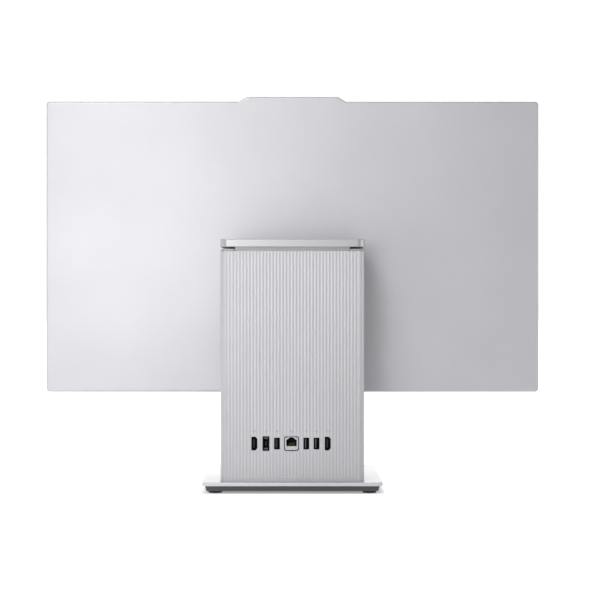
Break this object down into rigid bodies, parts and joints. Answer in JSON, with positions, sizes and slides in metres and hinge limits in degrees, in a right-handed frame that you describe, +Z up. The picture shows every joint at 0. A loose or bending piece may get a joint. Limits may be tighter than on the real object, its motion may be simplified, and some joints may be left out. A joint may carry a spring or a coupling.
{
  "type": "all-in-one desktop computer",
  "caption": "Desktop computer built into a ribbed upright column on a flat base, with a thin wide display that tilts on an arm over the column.",
  "frame": {"origin": "centre of the base's footprint, on the surface the feet stand on", "axes": "+Z up, the screen faces -Y, the rear connectors face +Y, +X is on the left when seen from the rear"},
  "size_m": [0.6144, 0.2, 0.4796],
  "materials": {
    "base_silver": "satin silver paint",
    "shell_silver": "fine matt silver paint",
    "cap_silver": "fine satin silver",
    "dark_plastic": "matt dark grey",
    "black_plastic": "matt black",
    "rubber_foot": "matt black",
    "steel_sheet": "plain sheet steel",
    "connector_metal": "plated",
    "cast_aluminium": "as cast",
    "copper_part": "bare copper",
    "circuit_board": "green solder mask",
    "dark_glass": "gloss",
    "cable_black": "matt black"
  },
  "bodies": {
    "stand": {"base_plate": "base_silver", "base_skirt": "dark_plastic", "base_weight": "steel_sheet", "base_foot_1": "rubber_foot", "base_foot_2": "rubber_foot", "base_foot_3": "rubber_foot", "base_foot_4": "rubber_foot", "column_cover": "shell_silver", "rear_cover": "shell_silver", "chassis_frame": "steel_sheet", "column_collar": "shell_silver", "neck_block": "cast_aluminium", "arm_cover": "cap_silver", "arm_beam": "steel_sheet", "video_in_port": "connector_metal", "power_inlet": "black_plastic", "usb_port_1": "connector_metal", "network_port": "connector_metal", "usb_port_2": "connector_metal", "usb_port_3": "connector_metal", "video_out_port": "connector_metal", "side_board": "circuit_board", "side_usb_a_port": "connector_metal", "side_usb_c_port": "connector_metal", "audio_jack": "black_plastic", "power_switch": "black_plastic", "input_board": "circuit_board", "input_switch": "black_plastic", "mainboard": "circuit_board", "memory_module_1": "black_plastic", "memory_module_2": "black_plastic", "ssd_module": "black_plastic", "cold_plate": "copper_part", "heat_pipe_1": "copper_part", "heat_pipe_2": "copper_part", "heatsink": "cast_aluminium", "fan_housing": "black_plastic", "display_cable": "cable_black"},
    "display": {"display_rear_shell": "shell_silver", "display_front_frame": "dark_plastic", "front_glass": "dark_glass", "chin_cover": "shell_silver", "lcd_panel": "black_plastic", "panel_back_plate": "steel_sheet", "hinge_support_plate": "steel_sheet", "display_board": "circuit_board", "speaker_left": "black_plastic", "speaker_right": "black_plastic", "camera_module": "black_plastic", "camera_lens": "dark_glass", "hinge_bracket": "steel_sheet", "tilt_pin": "steel_sheet", "bracket_screw_1": "steel_sheet", "bracket_screw_2": "steel_sheet", "bracket_screw_3": "steel_sheet", "bracket_screw_4": "steel_sheet"},
    "camera_shutter": {"camera_shutter": "black_plastic"},
    "fan": {"fan_impeller": "black_plastic"},
    "power_button": {"power_button": "shell_silver"},
    "input_button": {"input_button": "shell_silver"}
  },
  "joints": [
    {"name": "display_tilt", "type": "hinge", "parent": "stand", "child": "display", "pos_m": [0, -0.018, 0.2928], "axis": [-1, 0, 0], "range_deg": [-5, 20]},
    {"name": "camera_shutter_slide", "type": "slide", "parent": "display", "child": "camera_shutter", "axis": [-1, 0, 0], "range_m": [0, 0.009]},
    {"name": "fan_spin", "type": "hinge", "parent": "stand", "child": "fan", "pos_m": [-0.004, 0.038, 0.166], "axis": [0, 1, 0], "continuous": true},
    {"name": "power_button_press", "type": "slide", "parent": "stand", "child": "power_button", "axis": [-1, 0, 0], "range_m": [0, 0.0006], "stiffness_N_per_m": 800, "springref_m": -0.0005},
    {"name": "input_button_press", "type": "slide", "parent": "stand", "child": "input_button", "axis": [1, 0, 0], "range_m": [0, 0.0006], "stiffness_N_per_m": 800, "springref_m": -0.0005}
  ]
}
